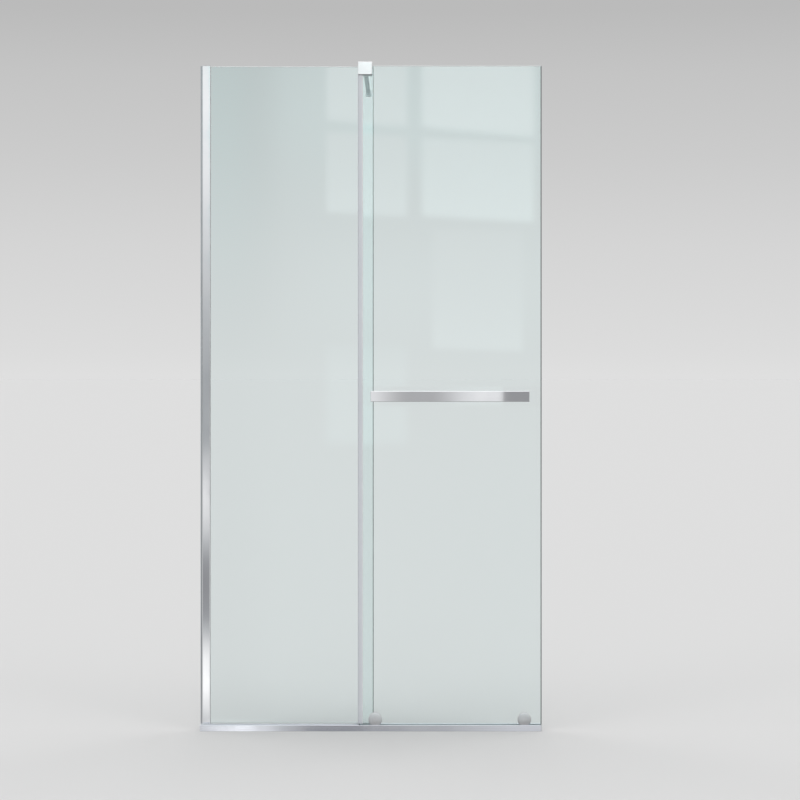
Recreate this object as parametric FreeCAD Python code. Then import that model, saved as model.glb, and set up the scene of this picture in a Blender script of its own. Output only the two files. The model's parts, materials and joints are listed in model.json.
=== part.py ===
import FreeCAD, Part
import math
import os

# Sliding shower screen: a fixed glass panel at the wall and a door panel that rolls in front of it.
# X runs along the screen from the wall side to the free side, -Y faces the room, Z is up.
# The origin is the middle of the rail's underside. All sizes are in millimetres.

# Whole screen
screen_width = 1000.0         # wall face to the free end of the rail
glass_top = 1948.0            # top edge of both panels
bar_wall_distance = 680.0     # rail's centre line to the wall that the stabiliser bar reaches

# Glass panels
door_glass_width = 535.0
door_glass_thickness = 6.0
door_glass_bottom = 7.0
fixed_glass_thickness = 6.0
fixed_glass_bottom = 5.0
panel_gap = 10.0              # clear space between the panels
panel_overlap = 42.5          # glass over glass with the door closed
glass_arris = 0.8             # ground edge all round a panel

# Bottom rail
rail_height = 18.0
rail_lip = 2.0                # front lip
rail_wall = 2.0               # walls of the fixed panel's channel
rail_base = 1.6
rail_edge_round = 0.8
track_depth = 5.0             # wheel track below the top of the lip
track_plate = 1.5
bead_width = 4.0              # rounded bead that the tyres ride on
end_cap_thickness = 2.0
end_cap_plug = 12.0
end_cap_notch_clearance = 1.5
plug_clearance = 0.2
glazing_gap = 3.0             # gasket space on each side of the fixed glass
gasket_nose = 1.2
setting_block_length = 60.0
setting_block_end = 90.0      # from each end of the fixed glass
cover_plate = 1.5
cover_leg = 1.2
cover_depth = 12.0
cover_clearance = 0.1
stop_length = 15.0
stop_clearance = 0.3
stop_headroom = 1.0           # stop below the door glass
opening_margin = 4.0          # door's edge to the wall profile at the end of its travel

# Wall channel and wall profile
profile_offset = 5.0          # wall face to the back of the profile
profile_face = 23.0           # width of the profile's visible face
profile_wall = 2.0
profile_web = 1.6
profile_round = 1.5
profile_cap_plate = 1.5
profile_cap_plug = 8.0
cap_headroom = 0.5            # glass below the cap
channel_depth = 13.0
channel_wall = 1.5
channel_slide = 0.25          # channel inside the profile, each side
web_clearance = 1.0
glass_bite_clearance = 1.4    # glass edge to the profile's web
wall_hole_radius = 2.5
wall_hole_count = 4
wall_hole_end = 149.0         # lowest hole above the floor, highest below the top of the glass

# Top clamp, door guide and stabiliser bar
clamp_width = 42.0
clamp_height = 38.0
clamp_above_glass = 11.0
clamp_front_wall = 4.0
clamp_rear_wall = 12.0
clamp_chamfer = 1.0
clamp_headroom = 3.0          # slots' roof above the glass
clamp_pad = 1.5
clamp_pad_margin = 2.0
liner_wall = 1.5
liner_clearance = 0.5
bar_side = 15.0
bar_wall = 1.5
bar_corner = 0.8
bar_below_top = 0.5
spigot_length = 22.0
spigot_clearance = 0.15
flange_wall = 2.0
flange_depth = 20.0
flange_plate = 4.0
flange_clearance = 0.15
flange_hole_radius = 2.5
flange_corner = 1.0

# Seal on the door's trailing edge
seal_web = 3.0                # beyond the glass edge
seal_grip = 11.6              # over the glass
seal_wall = 1.2
seal_fit = 0.05
seal_fin = 1.0
seal_fin_gap = 0.3            # fin to the fixed glass
seal_rail_gap = 1.0
seal_clamp_gap = 1.5

# Handle
handle_end = 38.0             # door's edge to the handle's end
handle_height = 31.0
handle_thickness = 10.0
handle_round = 2.0
handle_centre = 979.0
handle_post_end = 41.0        # handle's end to the middle of a post
handle_post_length = 34.0
handle_post_side = 16.0
handle_hole_radius = 6.0
handle_screw_radius = 3.0
handle_screw_reach = 16.0     # into the post
handle_screw_head_radius = 7.5
handle_screw_head = 3.0
handle_washer = 1.0
fit_clearance = 0.1

# Rollers and the guide shoes under the door
roller_end = 51.0             # door's edge to the middle of a roller
roller_side_gap = 1.0         # lip to roller cap
roller_cap_radius = 20.0
roller_cap_thickness = 2.5
roller_cap_bevel = 1.0
roller_cap_clearance = 1.0    # cap above the track
tyre_width = 8.0
tyre_inset = 0.3              # tyre inside the cap's rim
tyre_groove = 3.0             # depth of the V across the tyre
running_gap = 0.3             # tyre above the bead
bearing_outer_radius = 8.0
bearing_inner_radius = 4.0
bearing_width = 5.0
sleeve_wall = 1.5             # bearing's inner sleeve
running_fit = 0.05
axle_head = 1.3
axle_head_radius = 5.4        # inside the sleeve's edge
roller_eccentricity = 1.5     # glass hole above the axle
roller_hole_radius = 8.0
tyre_gap = 1.0                # tyre to the bush's flange
bush_flange = 2.0
bush_across = 22.0            # hexagon for the adjusting spanner
nut_flange = 1.5
nut_flange_radius = 11.0
nut_across = 13.0
nut_height = 3.5
shoe_length = 36.0
shoe_wall = 1.2
shoe_clearance = 0.5
shoe_chamfer = 0.6

# Planes across the screen, from the front lip backwards
rail_depth = (rail_lip + roller_side_gap + roller_cap_thickness + tyre_width + tyre_gap + bush_flange
              + door_glass_thickness + panel_gap + fixed_glass_thickness + glazing_gap + rail_wall)
lip_front = -rail_depth / 2
lip_rear = lip_front + rail_lip
cap_front = lip_rear + roller_side_gap
tyre_front = cap_front + roller_cap_thickness
tyre_rear = tyre_front + tyre_width
tyre_middle = (tyre_front + tyre_rear) / 2
bearing_front = tyre_rear - bearing_width
door_front = tyre_rear + tyre_gap + bush_flange
door_rear = door_front + door_glass_thickness
fixed_front = door_rear + panel_gap
fixed_rear = fixed_front + fixed_glass_thickness
fixed_middle = (fixed_front + fixed_rear) / 2
pocket_front = fixed_front - glazing_gap
pocket_rear = fixed_rear + glazing_gap
rail_rear = pocket_rear + rail_wall
slot_front = door_front - shoe_wall - shoe_clearance
slot_rear = pocket_front - rail_wall

# Places along the screen
wall_face = -screen_width / 2
free_end = screen_width / 2
rail_end = free_end - end_cap_thickness
profile_left = wall_face + profile_offset
profile_right = profile_left + profile_face
web_left = wall_face + channel_depth + web_clearance
web_right = web_left + profile_web
fixed_left = web_right + glass_bite_clearance
door_left = free_end - door_glass_width
fixed_right = door_left + panel_overlap
seal_left = door_left - seal_web
roller_places = (seal_left + roller_end, free_end - roller_end)
handle_left = seal_left + handle_end
handle_right = free_end - handle_end
handle_places = (handle_left + handle_post_end, handle_right - handle_post_end)
door_travel = seal_left - profile_right - opening_margin
clamp_left = seal_left
clamp_right = clamp_left + clamp_width
clamp_middle = (clamp_left + clamp_right) / 2

# Heights
track_level = rail_height - track_depth
roller_height = track_level + roller_cap_clearance + roller_cap_radius
tyre_radius = roller_cap_radius - tyre_inset
groove_radius = tyre_radius - tyre_groove
groove_slope = math.atan2(tyre_groove, tyre_width / 2)
bead_middle = roller_height - groove_radius - (bead_width / 2 + running_gap) / math.cos(groove_slope)
profile_top = glass_top + cap_headroom
clamp_top = glass_top + clamp_above_glass
clamp_bottom = clamp_top - clamp_height
clamp_roof = glass_top + clamp_headroom
bar_middle = clamp_top - bar_below_top - bar_side / 2

# Planes of the top clamp
guide_front = door_front - liner_clearance - liner_wall
guide_rear = door_rear + liner_clearance + liner_wall
grip_front = fixed_front - clamp_pad
grip_rear = fixed_rear + clamp_pad
clamp_front = guide_front - clamp_front_wall
clamp_rear = grip_rear + clamp_rear_wall
flange_face = bar_wall_distance - flange_plate
flange_mouth = flange_face - (flange_depth - flange_plate)

# Planes of the handle and of the roller's back
post_rear = door_front - handle_washer
post_front = post_rear - handle_post_length
handle_front = post_front - handle_thickness
nut_seat = door_rear + nut_flange
nut_rear = nut_seat + nut_height


def vector(x, y, z):
    return FreeCAD.Vector(x, y, z)


def block(x0, x1, y0, y1, z0, z1):
    return Part.makeBox(x1 - x0, y1 - y0, z1 - z0, vector(x0, y0, z0))


def rod_x(radius, y, z, x0, x1):
    return Part.makeCylinder(radius, x1 - x0, vector(x0, y, z), vector(1, 0, 0))


def rod_y(radius, x, z, y0, y1):
    return Part.makeCylinder(radius, y1 - y0, vector(x, y0, z), vector(0, 1, 0))


def ring_y(outer, inner, x, z, y0, y1):
    return rod_y(outer, x, z, y0, y1).cut(rod_y(inner, x, z, y0, y1))


def outline_x(points, x):
    """Closed outline in a plane across the screen. Points are (y, z)."""
    corners = [vector(x, y, z) for y, z in points]
    return Part.makePolygon(corners + corners[:1])


def outline_z(points, z):
    """Closed level outline. Points are (x, y)."""
    corners = [vector(x, y, z) for x, y in points]
    return Part.makePolygon(corners + corners[:1])


def prism_x(points, x0, x1):
    return Part.Face(outline_x(points, x0)).extrude(vector(x1 - x0, 0, 0))


def prism_z(points, z0, z1):
    return Part.Face(outline_z(points, z0)).extrude(vector(0, 0, z1 - z0))


def turned(points, x, z):
    """Solid turned about a line along Y at (x, z). Points are (radius, y)."""
    corners = [vector(x + radius, y, z) for radius, y in points]
    face = Part.Face(Part.makePolygon(corners + corners[:1]))
    return face.revolve(vector(x, 0, z), vector(0, 1, 0), 360)


def square_bar_y(side, corner, x, z, y0, y1):
    bar = block(x - side / 2, x + side / 2, y0, y1, z - side / 2, z + side / 2)
    return bar.makeChamfer(corner, edges_along(bar, "Y", y1 - y0))


def edges_in_plane(shape, axis, value):
    """Edges that lie in the plane where the named coordinate has this value."""
    low, high = axis + "Min", axis + "Max"
    return [e for e in shape.Edges
            if abs(getattr(e.BoundBox, low) - value) < 1e-6 and abs(getattr(e.BoundBox, high) - value) < 1e-6]


def edges_along(shape, axis, length):
    return [e for e in shape.Edges if abs(getattr(e.BoundBox, axis + "Length") - length) < 1e-6]


def hexagon_y(across, x, z, y0, y1):
    radius = across / math.sqrt(3)
    corners = [vector(x + radius * math.cos(k * math.pi / 3), y0, z + radius * math.sin(k * math.pi / 3))
               for k in range(6)]
    return Part.Face(Part.makePolygon(corners + corners[:1])).extrude(vector(0, y1 - y0, 0))


def group(solids):
    return Part.makeCompound(solids)


# Fixed side

def bottom_rail():
    bead = bead_width / 2
    corners = [
        (lip_front, 0), (lip_front, rail_height), (lip_rear, rail_height), (lip_rear, track_level),
        (slot_front, track_level), (slot_front, rail_base), (slot_rear, rail_base), (slot_rear, rail_height),
        (pocket_front, rail_height), (pocket_front, rail_base), (pocket_rear, rail_base),
        (pocket_rear, rail_height), (rail_rear, rail_height), (rail_rear, 0)]
    rail = prism_x(corners, wall_face, rail_end)
    lip_edges = [e for e in edges_in_plane(rail, "Z", rail_height)
                 if e.BoundBox.XLength > rail_lip and e.BoundBox.YMax < lip_rear + rail_edge_round]
    rail = rail.makeFillet(rail_edge_round, lip_edges)
    bead_rib = block(wall_face, rail_end, tyre_middle - bead, tyre_middle + bead, track_level, bead_middle)
    bead_crown = rod_x(bead, tyre_middle, bead_middle, wall_face, rail_end)
    chamber = block(wall_face, rail_end, lip_rear, slot_front - track_plate, rail_base,
                    track_level - track_plate)
    return rail.fuse([bead_rib, bead_crown]).cut(chamber).removeSplitter()


def rail_end_cap():
    notch = door_glass_bottom - end_cap_notch_clearance
    corners = [
        (lip_front, 0), (lip_front, rail_height), (slot_front, rail_height), (slot_front, notch),
        (slot_rear, notch), (slot_rear, rail_height), (rail_rear, rail_height), (rail_rear, 0)]
    plate = prism_x(corners, rail_end, free_end)
    outer_rim = [e for e in edges_in_plane(plate, "X", free_end)
                 if e.BoundBox.ZMax < rail_base or e.BoundBox.YMax < lip_rear
                 or e.BoundBox.YMin > pocket_rear]
    plate = plate.makeChamfer(rail_edge_round, outer_rim)
    plug = block(rail_end - end_cap_plug, rail_end, lip_rear + plug_clearance,
                 slot_front - track_plate - plug_clearance, rail_base + plug_clearance,
                 track_level - track_plate - plug_clearance)
    return plate.fuse(plug).removeSplitter()


def stop(x):
    body = block(x, x + stop_length, slot_front + plug_clearance, slot_rear - plug_clearance, rail_base,
                 door_glass_bottom - stop_headroom)
    upright = edges_along(body, "Z", door_glass_bottom - stop_headroom - rail_base)
    return body.makeChamfer(shoe_chamfer, upright)


def rail_stops():
    closing = roller_places[1] + shoe_length / 2 + stop_clearance
    opening = roller_places[0] - shoe_length / 2 - door_travel - stop_clearance - stop_length
    return group([stop(opening), stop(closing)])


def gasket_face(depth0, depth1, near, far, place):
    """Gasket section: a strip from depth0 to the mouth at depth1, with a rounded nose outside it."""
    middle = (near + far) / 2
    low, high = place(depth0, near), place(depth0, far)
    mouth_low, mouth_high = place(depth1, near), place(depth1, far)
    edges = [Part.makeLine(mouth_high, high), Part.makeLine(high, low), Part.makeLine(low, mouth_low),
             Part.Arc(mouth_low, place(depth1 + gasket_nose, middle), mouth_high).toShape()]
    return Part.Face(Part.Wire(edges))


def rail_gasket(near, far):
    face = gasket_face(rail_base, rail_height, near, far,
                       lambda depth, across: vector(fixed_left, across, depth))
    return face.extrude(vector(fixed_right - fixed_left, 0, 0))


def glazing_gasket(near, far):
    bottom = rail_height + gasket_nose + seal_fin_gap
    face = gasket_face(fixed_left, profile_right, near, far,
                       lambda depth, across: vector(depth, across, bottom))
    return face.extrude(vector(0, 0, glass_top - bottom))


def setting_blocks():
    starts = (fixed_left + setting_block_end, fixed_right - setting_block_end - setting_block_length)
    return group([block(x, x + setting_block_length, fixed_front, fixed_rear, rail_base, fixed_glass_bottom)
                  for x in starts])


def rail_channel_cover():
    near, far = pocket_front + cover_clearance, pocket_rear - cover_clearance
    under, foot = rail_height - cover_plate, rail_height - cover_depth
    corners = [(near, foot), (near, rail_height), (far, rail_height), (far, foot), (far - cover_leg, foot),
               (far - cover_leg, under), (near + cover_leg, under), (near + cover_leg, foot)]
    return prism_x(corners, fixed_right + stop_clearance, rail_end)


def fixed_glass():
    panel = block(fixed_left, fixed_right, fixed_front, fixed_rear, fixed_glass_bottom, glass_top)
    return panel.makeChamfer(glass_arris, panel.Edges)


def wall_channel():
    near, far = pocket_front + channel_slide, pocket_rear - channel_slide
    back, mouth = wall_face + channel_wall, wall_face + channel_depth
    corners = [(wall_face, near), (mouth, near), (mouth, near + channel_wall), (back, near + channel_wall),
               (back, far - channel_wall), (mouth, far - channel_wall), (mouth, far), (wall_face, far)]
    channel = prism_z(corners, rail_height, profile_top)
    hole_pitch = (glass_top - 2 * wall_hole_end) / (wall_hole_count - 1)
    holes = [rod_x(wall_hole_radius, fixed_middle, wall_hole_end + k * hole_pitch, wall_face, back)
             for k in range(wall_hole_count)]
    return channel.cut(holes)


def wall_profile():
    near, far = pocket_front - profile_wall, pocket_rear + profile_wall
    corners = [(profile_left, near), (profile_right, near), (profile_right, pocket_front),
               (web_right, pocket_front), (web_right, pocket_rear), (profile_right, pocket_rear),
               (profile_right, far), (profile_left, far), (profile_left, pocket_rear),
               (web_left, pocket_rear), (web_left, pocket_front), (profile_left, pocket_front)]
    profile = prism_z(corners, rail_height, profile_top)
    outside = [e for e in edges_along(profile, "Z", profile_top - rail_height)
               if abs(e.BoundBox.YMin - near) < 1e-6 or abs(e.BoundBox.YMin - far) < 1e-6]
    return profile.makeFillet(profile_round, outside)


def wall_profile_cap():
    near, far = pocket_front - profile_wall, pocket_rear + profile_wall
    plate = block(profile_left, profile_right, near, far, profile_top, profile_top + profile_cap_plate)
    plate = plate.makeChamfer(profile_round, edges_along(plate, "Z", profile_cap_plate))
    inner_near = pocket_front + channel_slide + channel_wall + plug_clearance
    inner_far = pocket_rear - channel_slide - channel_wall - plug_clearance
    plug = block(wall_face + profile_offset, wall_face + channel_depth, inner_near, inner_far,
                 profile_top - profile_cap_plug, profile_top)
    return plate.fuse(plug).removeSplitter()


def clamp_body():
    corners = [
        (clamp_front, clamp_bottom), (clamp_front, clamp_top), (clamp_rear, clamp_top),
        (clamp_rear, clamp_bottom), (grip_rear, clamp_bottom), (grip_rear, clamp_roof),
        (grip_front, clamp_roof), (grip_front, clamp_bottom), (guide_rear, clamp_bottom),
        (guide_rear, clamp_roof), (guide_front, clamp_roof), (guide_front, clamp_bottom)]
    body = prism_x(corners, clamp_left, clamp_right)
    body = body.makeChamfer(clamp_chamfer, edges_in_plane(body, "Y", clamp_front))
    spigot_side = bar_side - 2 * bar_wall - 2 * spigot_clearance
    spigot = square_bar_y(spigot_side, bar_corner, clamp_middle, bar_middle, clamp_rear,
                              clamp_rear + spigot_length)
    return body.fuse(spigot).removeSplitter()


def clamp_pads():
    left, right = clamp_left + clamp_pad_margin, clamp_right - clamp_pad_margin
    low = clamp_bottom + clamp_pad_margin
    return group([block(left, right, grip_front, fixed_front, low, glass_top),
                  block(left, right, fixed_rear, grip_rear, low, glass_top)])


def door_guide_liner():
    inner_front, inner_rear = guide_front + liner_wall, guide_rear - liner_wall
    inner_roof = clamp_roof - liner_wall
    corners = [(guide_front, clamp_bottom), (guide_front, clamp_roof), (guide_rear, clamp_roof),
               (guide_rear, clamp_bottom), (inner_rear, clamp_bottom), (inner_rear, inner_roof),
               (inner_front, inner_roof), (inner_front, clamp_bottom)]
    return prism_x(corners, clamp_left, clamp_right)


def stabiliser_bar():
    tube = square_bar_y(bar_side, bar_corner, clamp_middle, bar_middle, clamp_rear, flange_face)
    bore = bar_side / 2 - bar_wall
    hollow = block(clamp_middle - bore, clamp_middle + bore, clamp_rear, flange_face,
                   bar_middle - bore, bar_middle + bore)
    return tube.cut(hollow)


def wall_flange():
    side = bar_side + 2 * (flange_clearance + flange_wall)
    cup = square_bar_y(side, flange_corner, clamp_middle, bar_middle, flange_mouth, bar_wall_distance)
    pocket = bar_side / 2 + flange_clearance
    hollow = block(clamp_middle - pocket, clamp_middle + pocket, flange_mouth, flange_face,
                   bar_middle - pocket, bar_middle + pocket)
    wall_screw_hole = rod_y(flange_hole_radius, clamp_middle, bar_middle, flange_face, bar_wall_distance)
    return cup.cut([hollow, wall_screw_hole])


# Door

def door_glass():
    panel = block(door_left, free_end, door_front, door_rear, door_glass_bottom, glass_top)
    panel = panel.makeChamfer(glass_arris, panel.Edges)
    roller_holes = [rod_y(roller_hole_radius, x, roller_height + roller_eccentricity, door_front, door_rear)
                    for x in roller_places]
    handle_holes = [rod_y(handle_hole_radius, x, handle_centre, door_front, door_rear) for x in handle_places]
    return panel.cut(roller_holes + handle_holes)


def door_overlap_seal():
    front, rear = door_front - seal_fit, door_rear + seal_fit
    edge, grip_end = door_left - seal_fit, door_left + seal_grip
    fin_tip = fixed_front - seal_fin_gap
    corners = [(grip_end, front - seal_wall), (grip_end, front), (edge, front), (edge, rear),
               (grip_end, rear), (grip_end, rear + seal_wall), (seal_left + 2 * seal_fin, rear + seal_wall),
               (seal_left + seal_fin, fin_tip), (seal_left, fin_tip), (seal_left, front - seal_wall)]
    low, high = rail_height + gasket_nose + seal_rail_gap, clamp_bottom - seal_clamp_gap
    seal = prism_z(corners, low, high)
    outer_corners = [e for e in edges_along(seal, "Z", high - low)
                     if abs(e.BoundBox.YMin - front + seal_wall) < 1e-6]
    return seal.makeFillet(seal_wall / 2, outer_corners)


def handle_bar():
    bar = block(handle_left, handle_right, handle_front, post_front, handle_centre - handle_height / 2,
                handle_centre + handle_height / 2)
    return bar.makeFillet(handle_round, edges_along(bar, "X", handle_right - handle_left))


def square_pad(x, y0, y1):
    half = handle_post_side / 2
    return block(x - half, x + half, y0, y1, handle_centre - half, handle_centre + half)


def handle_posts():
    posts = []
    for x in handle_places:
        bore = rod_y(handle_screw_radius + fit_clearance, x, handle_centre,
                     post_rear - handle_screw_reach - fit_clearance, post_rear)
        posts.append(square_pad(x, post_front, post_rear).cut(bore))
    return group(posts)


def handle_bushes():
    """Sleeves through the glass, each with a square flange under its post."""
    bushes = []
    for x in handle_places:
        sleeve = rod_y(handle_hole_radius - fit_clearance, x, handle_centre, door_front, door_rear)
        bore = rod_y(handle_screw_radius + fit_clearance, x, handle_centre, post_rear, door_rear)
        bushes.append(square_pad(x, post_rear, door_front).fuse(sleeve).cut(bore).removeSplitter())
    return group(bushes)


def handle_pads():
    back = door_rear + handle_washer
    pads = []
    for x in handle_places:
        bore = rod_y(handle_screw_radius + fit_clearance, x, handle_centre, door_rear, back)
        pads.append(square_pad(x, door_rear, back).cut(bore))
    return group(pads)


def handle_screws():
    seat = door_rear + handle_washer
    screws = []
    for x in handle_places:
        head = rod_y(handle_screw_head_radius, x, handle_centre, seat, seat + handle_screw_head)
        shank = rod_y(handle_screw_radius, x, handle_centre, post_rear - handle_screw_reach, seat)
        screws.append(head.fuse(shank).removeSplitter())
    return group(screws)


def door_guide_shoes():
    near, far = slot_front + shoe_clearance, slot_rear - shoe_clearance
    low, high = rail_base + shoe_clearance, track_level - shoe_clearance
    front, rear = door_front - seal_fit, door_rear + seal_fit
    corners = [(near, low), (near, high), (front, high), (front, door_glass_bottom),
               (rear, door_glass_bottom), (rear, high), (far, high), (far, low)]
    shoes = []
    for x in roller_places:
        shoe = prism_x(corners, x - shoe_length / 2, x + shoe_length / 2)
        shoes.append(shoe.makeChamfer(shoe_chamfer, edges_along(shoe, "Z", high - low)))
    return group(shoes)


def for_each_roller(make):
    return group([make(x) for x in roller_places])


def roller_axle(x):
    head = rod_y(axle_head_radius, x, roller_height, bearing_front - axle_head, bearing_front)
    shank = rod_y(bearing_inner_radius - running_fit, x, roller_height, bearing_front, nut_rear)
    return head.fuse(shank).removeSplitter()


def roller_bush(x):
    """Eccentric bush: turning it in the glass hole raises or lowers the door."""
    flange = hexagon_y(bush_across, x, roller_height, door_front - bush_flange, door_front)
    hole_height = roller_height + roller_eccentricity
    sleeve = rod_y(roller_hole_radius - fit_clearance, x, hole_height, door_front, door_rear)
    bore = rod_y(bearing_inner_radius, x, roller_height, door_front - bush_flange, door_rear)
    return flange.fuse(sleeve).cut(bore).removeSplitter()


def roller_nut(x):
    flange = rod_y(nut_flange_radius, x, roller_height, door_rear, nut_seat)
    hexagon = hexagon_y(nut_across, x, roller_height, nut_seat, nut_rear)
    bore = rod_y(bearing_inner_radius, x, roller_height, door_rear, nut_rear)
    return flange.fuse(hexagon).cut(bore).removeSplitter()


def roller_sleeve(x):
    return ring_y(bearing_inner_radius + sleeve_wall, bearing_inner_radius, x, roller_height, bearing_front,
                  door_front - bush_flange)


# Turning parts of each roller

def roller_bearing(x):
    """Outer part of the sealed bearing, which turns with the tyre."""
    return ring_y(bearing_outer_radius, bearing_inner_radius + sleeve_wall + running_fit, x, roller_height,
                  bearing_front, tyre_rear)


def roller_tyre(x):
    corners = [(bearing_outer_radius, tyre_front), (tyre_radius, tyre_front), (groove_radius, tyre_middle),
               (tyre_radius, tyre_rear), (bearing_outer_radius, tyre_rear)]
    return turned(corners, x, roller_height)


def roller_cap(x):
    bevel = roller_cap_bevel
    corners = [(0, cap_front), (roller_cap_radius - bevel, cap_front), (roller_cap_radius, cap_front + bevel),
               (roller_cap_radius, tyre_front), (0, tyre_front)]
    return turned(corners, x, roller_height)


def nodes():
    left, right = roller_places
    return {
        "bottom_rail": bottom_rail(),
        "rail_end_cap": rail_end_cap(),
        "rail_stops": rail_stops(),
        "rail_gasket_front": rail_gasket(pocket_front, fixed_front),
        "rail_gasket_rear": rail_gasket(fixed_rear, pocket_rear),
        "rail_channel_cover": rail_channel_cover(),
        "setting_blocks": setting_blocks(),
        "fixed_glass": fixed_glass(),
        "wall_channel": wall_channel(),
        "wall_profile": wall_profile(),
        "wall_profile_cap": wall_profile_cap(),
        "glazing_gasket_front": glazing_gasket(pocket_front, fixed_front),
        "glazing_gasket_rear": glazing_gasket(fixed_rear, pocket_rear),
        "clamp_body": clamp_body(),
        "clamp_pads": clamp_pads(),
        "door_guide_liner": door_guide_liner(),
        "stabiliser_bar": stabiliser_bar(),
        "wall_flange": wall_flange(),
        "door_glass": door_glass(),
        "door_overlap_seal": door_overlap_seal(),
        "door_guide_shoes": door_guide_shoes(),
        "handle_bar": handle_bar(),
        "handle_posts": handle_posts(),
        "handle_bushes": handle_bushes(),
        "handle_pads": handle_pads(),
        "handle_screws": handle_screws(),
        "roller_axles": for_each_roller(roller_axle),
        "roller_bushes": for_each_roller(roller_bush),
        "roller_sleeves": for_each_roller(roller_sleeve),
        "roller_nuts": for_each_roller(roller_nut),
        "roller_bearing_left": roller_bearing(left),
        "roller_tyre_left": roller_tyre(left),
        "roller_cap_left": roller_cap(left),
        "roller_bearing_right": roller_bearing(right),
        "roller_tyre_right": roller_tyre(right),
        "roller_cap_right": roller_cap(right),
    }


def main():
    os.makedirs("parts", exist_ok=True)
    for name, shape in nodes().items():
        shape.exportStep("parts/" + name + ".step")
        box = shape.BoundBox
        print(f"{name}: {len(shape.Solids)} solids, x {box.XMin:.2f}..{box.XMax:.2f}, "
              f"y {box.YMin:.2f}..{box.YMax:.2f}, z {box.ZMin:.2f}..{box.ZMax:.2f}")
    print(f"door travel {door_travel:.1f} mm, roller centre height {roller_height:.2f} mm")


main()
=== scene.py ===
import json
import math

import bmesh
import bpy
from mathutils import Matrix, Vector


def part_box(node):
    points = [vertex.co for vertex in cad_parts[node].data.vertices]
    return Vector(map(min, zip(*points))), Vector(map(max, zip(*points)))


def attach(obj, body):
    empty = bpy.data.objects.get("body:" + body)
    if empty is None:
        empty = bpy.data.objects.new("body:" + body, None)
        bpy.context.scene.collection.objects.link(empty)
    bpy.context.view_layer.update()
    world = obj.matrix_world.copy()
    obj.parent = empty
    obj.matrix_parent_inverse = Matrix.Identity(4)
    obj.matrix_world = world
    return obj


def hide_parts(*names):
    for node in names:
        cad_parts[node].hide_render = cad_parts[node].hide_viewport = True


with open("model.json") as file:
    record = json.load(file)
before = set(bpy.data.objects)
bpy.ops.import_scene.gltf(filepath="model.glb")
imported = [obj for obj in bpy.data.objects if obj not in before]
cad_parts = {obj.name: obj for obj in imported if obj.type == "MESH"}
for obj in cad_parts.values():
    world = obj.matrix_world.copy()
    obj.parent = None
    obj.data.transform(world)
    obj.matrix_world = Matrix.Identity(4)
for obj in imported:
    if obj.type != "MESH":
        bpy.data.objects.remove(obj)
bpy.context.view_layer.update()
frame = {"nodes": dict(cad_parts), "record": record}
nodes = frame["nodes"]
bodyOf = {name: body for body, names in frame["record"]["behaviour"]["bodies"].items() for name in names}
scene = bpy.context.scene
scene.view_settings.view_transform = "Standard"
mm = 0.001
print("frame loaded,", len(nodes), "nodes")


# camera, square to the screen and a little above half its height
cameraView = {
    "place": (0.097, -6.564, 1.043),
    "lens": 100.73,
    "sensor": 36.0,
    "shift": (-0.005, -0.0319),
    "reach": 2000.0,
}


def addCamera(spec):
    lens = bpy.data.cameras.new("frontCamera")
    lens.lens, lens.sensor_width = spec["lens"], spec["sensor"]
    lens.shift_x, lens.shift_y = spec["shift"]
    lens.clip_end = spec["reach"]
    camera = bpy.data.objects.new("frontCamera", lens)
    camera.location = spec["place"]
    camera.rotation_euler = (math.radians(90), 0, 0)  # level, looking along +Y
    scene.collection.objects.link(camera)
    scene.camera = camera


addCamera(cameraView)
print("camera set")


# small helpers for node trees: a value is a number, a colour or another node's socket
def feed(tree, socket, value):
    if isinstance(value, bpy.types.NodeSocket):
        tree.links.new(value, socket)
    else:
        socket.default_value = value


def sums(tree, operation, *values):
    node = tree.nodes.new("ShaderNodeMath")
    node.operation = operation
    for socket, value in zip(node.inputs, values):
        feed(tree, socket, value)
    return node.outputs[0]


def softStep(tree, value, start, end):
    node = tree.nodes.new("ShaderNodeMapRange")
    node.interpolation_type = "SMOOTHSTEP"
    feed(tree, node.inputs["Value"], value)
    node.inputs["From Min"].default_value, node.inputs["From Max"].default_value = start, end
    return node.outputs["Result"]


def spread(tree, value, low, high):
    node = tree.nodes.new("ShaderNodeMapRange")
    feed(tree, node.inputs["Value"], value)
    feed(tree, node.inputs["To Min"], low)
    feed(tree, node.inputs["To Max"], high)
    return node.outputs["Result"]


colorInputs, colorOutput = (6, 7), 2  # the Mix node's colour sockets, which share their names with others


def mixColor(tree, factor, first, second, blend="MIX"):
    node = tree.nodes.new("ShaderNodeMix")
    node.data_type, node.blend_type = "RGBA", blend
    feed(tree, node.inputs["Factor"], factor)
    for place, value in zip(colorInputs, (first, second)):
        feed(tree, node.inputs[place], value)
    return node.outputs[colorOutput]


def ramp(tree, value, stops, smooth=True):
    node = tree.nodes.new("ShaderNodeValToRGB")
    feed(tree, node.inputs[0], value)
    band = node.color_ramp
    band.interpolation = "EASE" if smooth else "LINEAR"
    while len(band.elements) < len(stops):
        band.elements.new(0.5)
    for element, (place, tone) in zip(band.elements, stops):
        element.position = place
        element.color = (*tone, 1) if isinstance(tone, tuple) else (tone, tone, tone, 1)
    return node.outputs[0]


def strip(tree, value, start, end, soft):
    rise = softStep(tree, value, start - soft, start + soft)
    fall = softStep(tree, value, end - soft, end + soft)
    return sums(tree, "SUBTRACT", rise, fall)


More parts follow.
